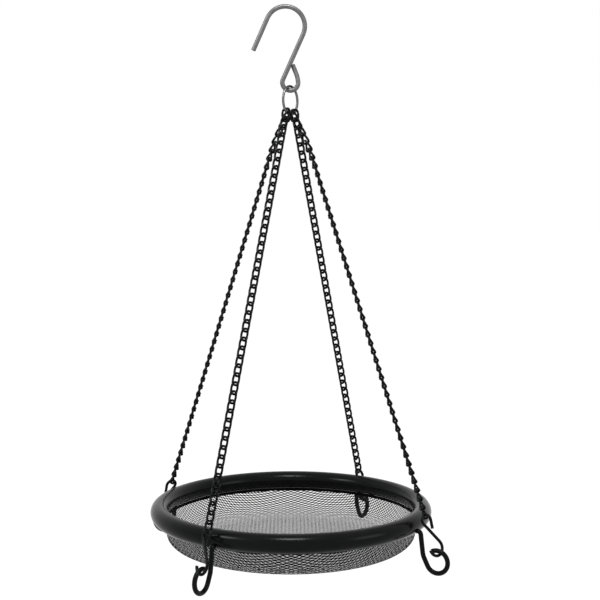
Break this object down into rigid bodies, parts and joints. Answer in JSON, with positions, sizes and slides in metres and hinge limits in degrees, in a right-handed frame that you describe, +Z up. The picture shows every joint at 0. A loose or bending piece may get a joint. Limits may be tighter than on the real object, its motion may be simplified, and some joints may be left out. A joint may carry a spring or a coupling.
{
  "type": "platform bird feeder",
  "caption": "Hanging platform bird feeder: a round mesh dish in a black tube rim, carried by twisted-link chains from one small ring on a wire hook.",
  "frame": {"origin": "below the middle of the dish, level with the underside of the loops", "axes": "+Z up along the hanging line, X and Y through the loops under the rim"},
  "size_m": [0.3686, 0.3686, 0.5823],
  "materials": {
    "bright_wire": "bright drawn wire",
    "black_chain": "black satin coat",
    "black_wire": "black satin coat",
    "black_coat": "black satin powder coat",
    "black_mesh": "black satin coat on expanded mesh"
  },
  "bodies": {
    "hook": {"hanging_hook": "bright_wire"},
    "ring": {"top_ring": "bright_wire"},
    "tray": {"chain_right": "black_chain", "clip_right": "black_wire", "loop_right": "black_coat", "chain_back": "black_chain", "clip_back": "black_wire", "loop_back": "black_coat", "chain_left": "black_chain", "clip_left": "black_wire", "loop_left": "black_coat", "chain_front": "black_chain", "clip_front": "black_wire", "loop_front": "black_coat", "rim": "black_coat", "mesh_dish": "black_mesh"}
  },
  "joints": [
    {"name": "ring_swing", "type": "hinge", "parent": "hook", "child": "ring", "pos_m": [0, 0, 0.49339], "axis": [0.8634, 0.5045, 0], "range_deg": [-40, 40]},
    {"name": "tray_swing", "type": "hinge", "parent": "ring", "child": "tray", "pos_m": [0, 0, 0.4682], "axis": [0, 1, 0], "range_deg": [-8, 8]}
  ]
}
